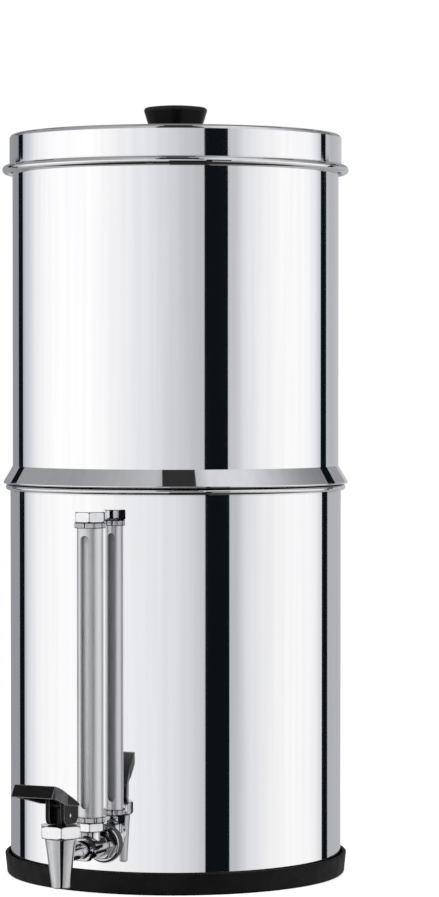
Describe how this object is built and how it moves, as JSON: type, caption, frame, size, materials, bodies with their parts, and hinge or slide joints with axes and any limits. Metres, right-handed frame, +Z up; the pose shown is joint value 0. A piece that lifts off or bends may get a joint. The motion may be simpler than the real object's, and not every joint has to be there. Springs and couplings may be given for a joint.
{
  "type": "gravity water filter with tap",
  "caption": "Tall round steel water filter: filter chamber stacked on a reservoir, flat lid with knob, rubber base ring, lever tap and upright sight gauge.",
  "frame": {"origin": "on the chambers' common axis, on the floor under the base ring", "axes": "+Z up along the chambers' axis; the tap and the sight gauge stand out along -Y; +X to the right as seen from the tap's side"},
  "size_m": [0.2234, 0.3189, 0.495],
  "materials": {
    "mirror_steel": "mirror-polished stainless steel sheet",
    "satin_steel": "satin stainless steel",
    "chrome": "bright chrome plate",
    "black_rubber": "matte black rubber",
    "black_plastic": "moulded black plastic",
    "gloss_black": "glossy black plastic",
    "grey_silicone": "grey silicone rubber",
    "carbon": "pressed carbon block, fine pores",
    "white_plastic": "white moulded plastic",
    "clear_tube": "clear tube",
    "spring_steel": "drawn steel wire"
  },
  "bodies": {
    "base": {"base_ring": "black_rubber", "lower_chamber": "mirror_steel", "tap_outer_seal": "grey_silicone", "tap_flange": "chrome", "wall_nut": "chrome", "tee_body": "chrome", "tap_inner_seal": "grey_silicone", "tap_inner_washer": "satin_steel", "back_nut": "chrome", "coupling_nut": "chrome", "coupling_seal": "grey_silicone", "tap_body": "chrome", "bonnet_nut": "chrome", "valve_spring": "spring_steel", "gauge_socket": "chrome", "gauge_lower_ring": "chrome", "gauge_guard": "satin_steel", "gauge_glass": "clear_tube", "gauge_lower_seal": "grey_silicone", "gauge_upper_seal": "grey_silicone", "gauge_upper_ring": "chrome", "gauge_cap": "chrome"},
    "seat": {"seat_cup": "grey_silicone"},
    "stem": {"valve_stem": "black_plastic", "lever_pin": "chrome"},
    "lever": {"lever": "gloss_black"},
    "upper": {"upper_chamber": "mirror_steel", "filter_element_left": "carbon", "filter_element_right": "carbon", "filter_cup_left": "black_plastic", "filter_cup_right": "black_plastic", "filter_cap_left": "black_plastic", "filter_cap_right": "black_plastic", "blanking_plugs": "black_plastic", "stem_seals": "grey_silicone", "stem_washers": "white_plastic", "wing_nuts": "black_plastic"},
    "lid": {"lid": "mirror_steel", "lid_knob": "gloss_black", "knob_washer": "satin_steel", "knob_screw": "satin_steel"}
  },
  "joints": [
    {"name": "chamber_lift", "type": "slide", "parent": "base", "child": "upper", "axis": [0, 0, 1], "range_m": [0, 0.08]},
    {"name": "lid_lift", "type": "slide", "parent": "upper", "child": "lid", "axis": [0, 0, 1], "range_m": [0, 0.06]},
    {"name": "stem_lift", "type": "slide", "parent": "base", "child": "seat", "axis": [0, 0, 1], "range_m": [0, 0.00138], "deforming": ["valve_spring"]},
    {"name": "lever_swivel", "type": "hinge", "parent": "seat", "child": "stem", "pos_m": [0, -0.1677, 0.05], "axis": [0, 0, 1], "range_deg": [-120, 120]},
    {"name": "lever_press", "type": "hinge", "parent": "stem", "child": "lever", "pos_m": [0, -0.1677, 0.0558], "axis": [1, 0, 0], "range_deg": [0, 25], "stiffness_Nm_per_rad": 0.015, "springref_deg": -57.3}
  ],
  "couplings": [
    {"joint": "lever_press", "follows": "stem_lift", "rad_per_m": 315}
  ]
}
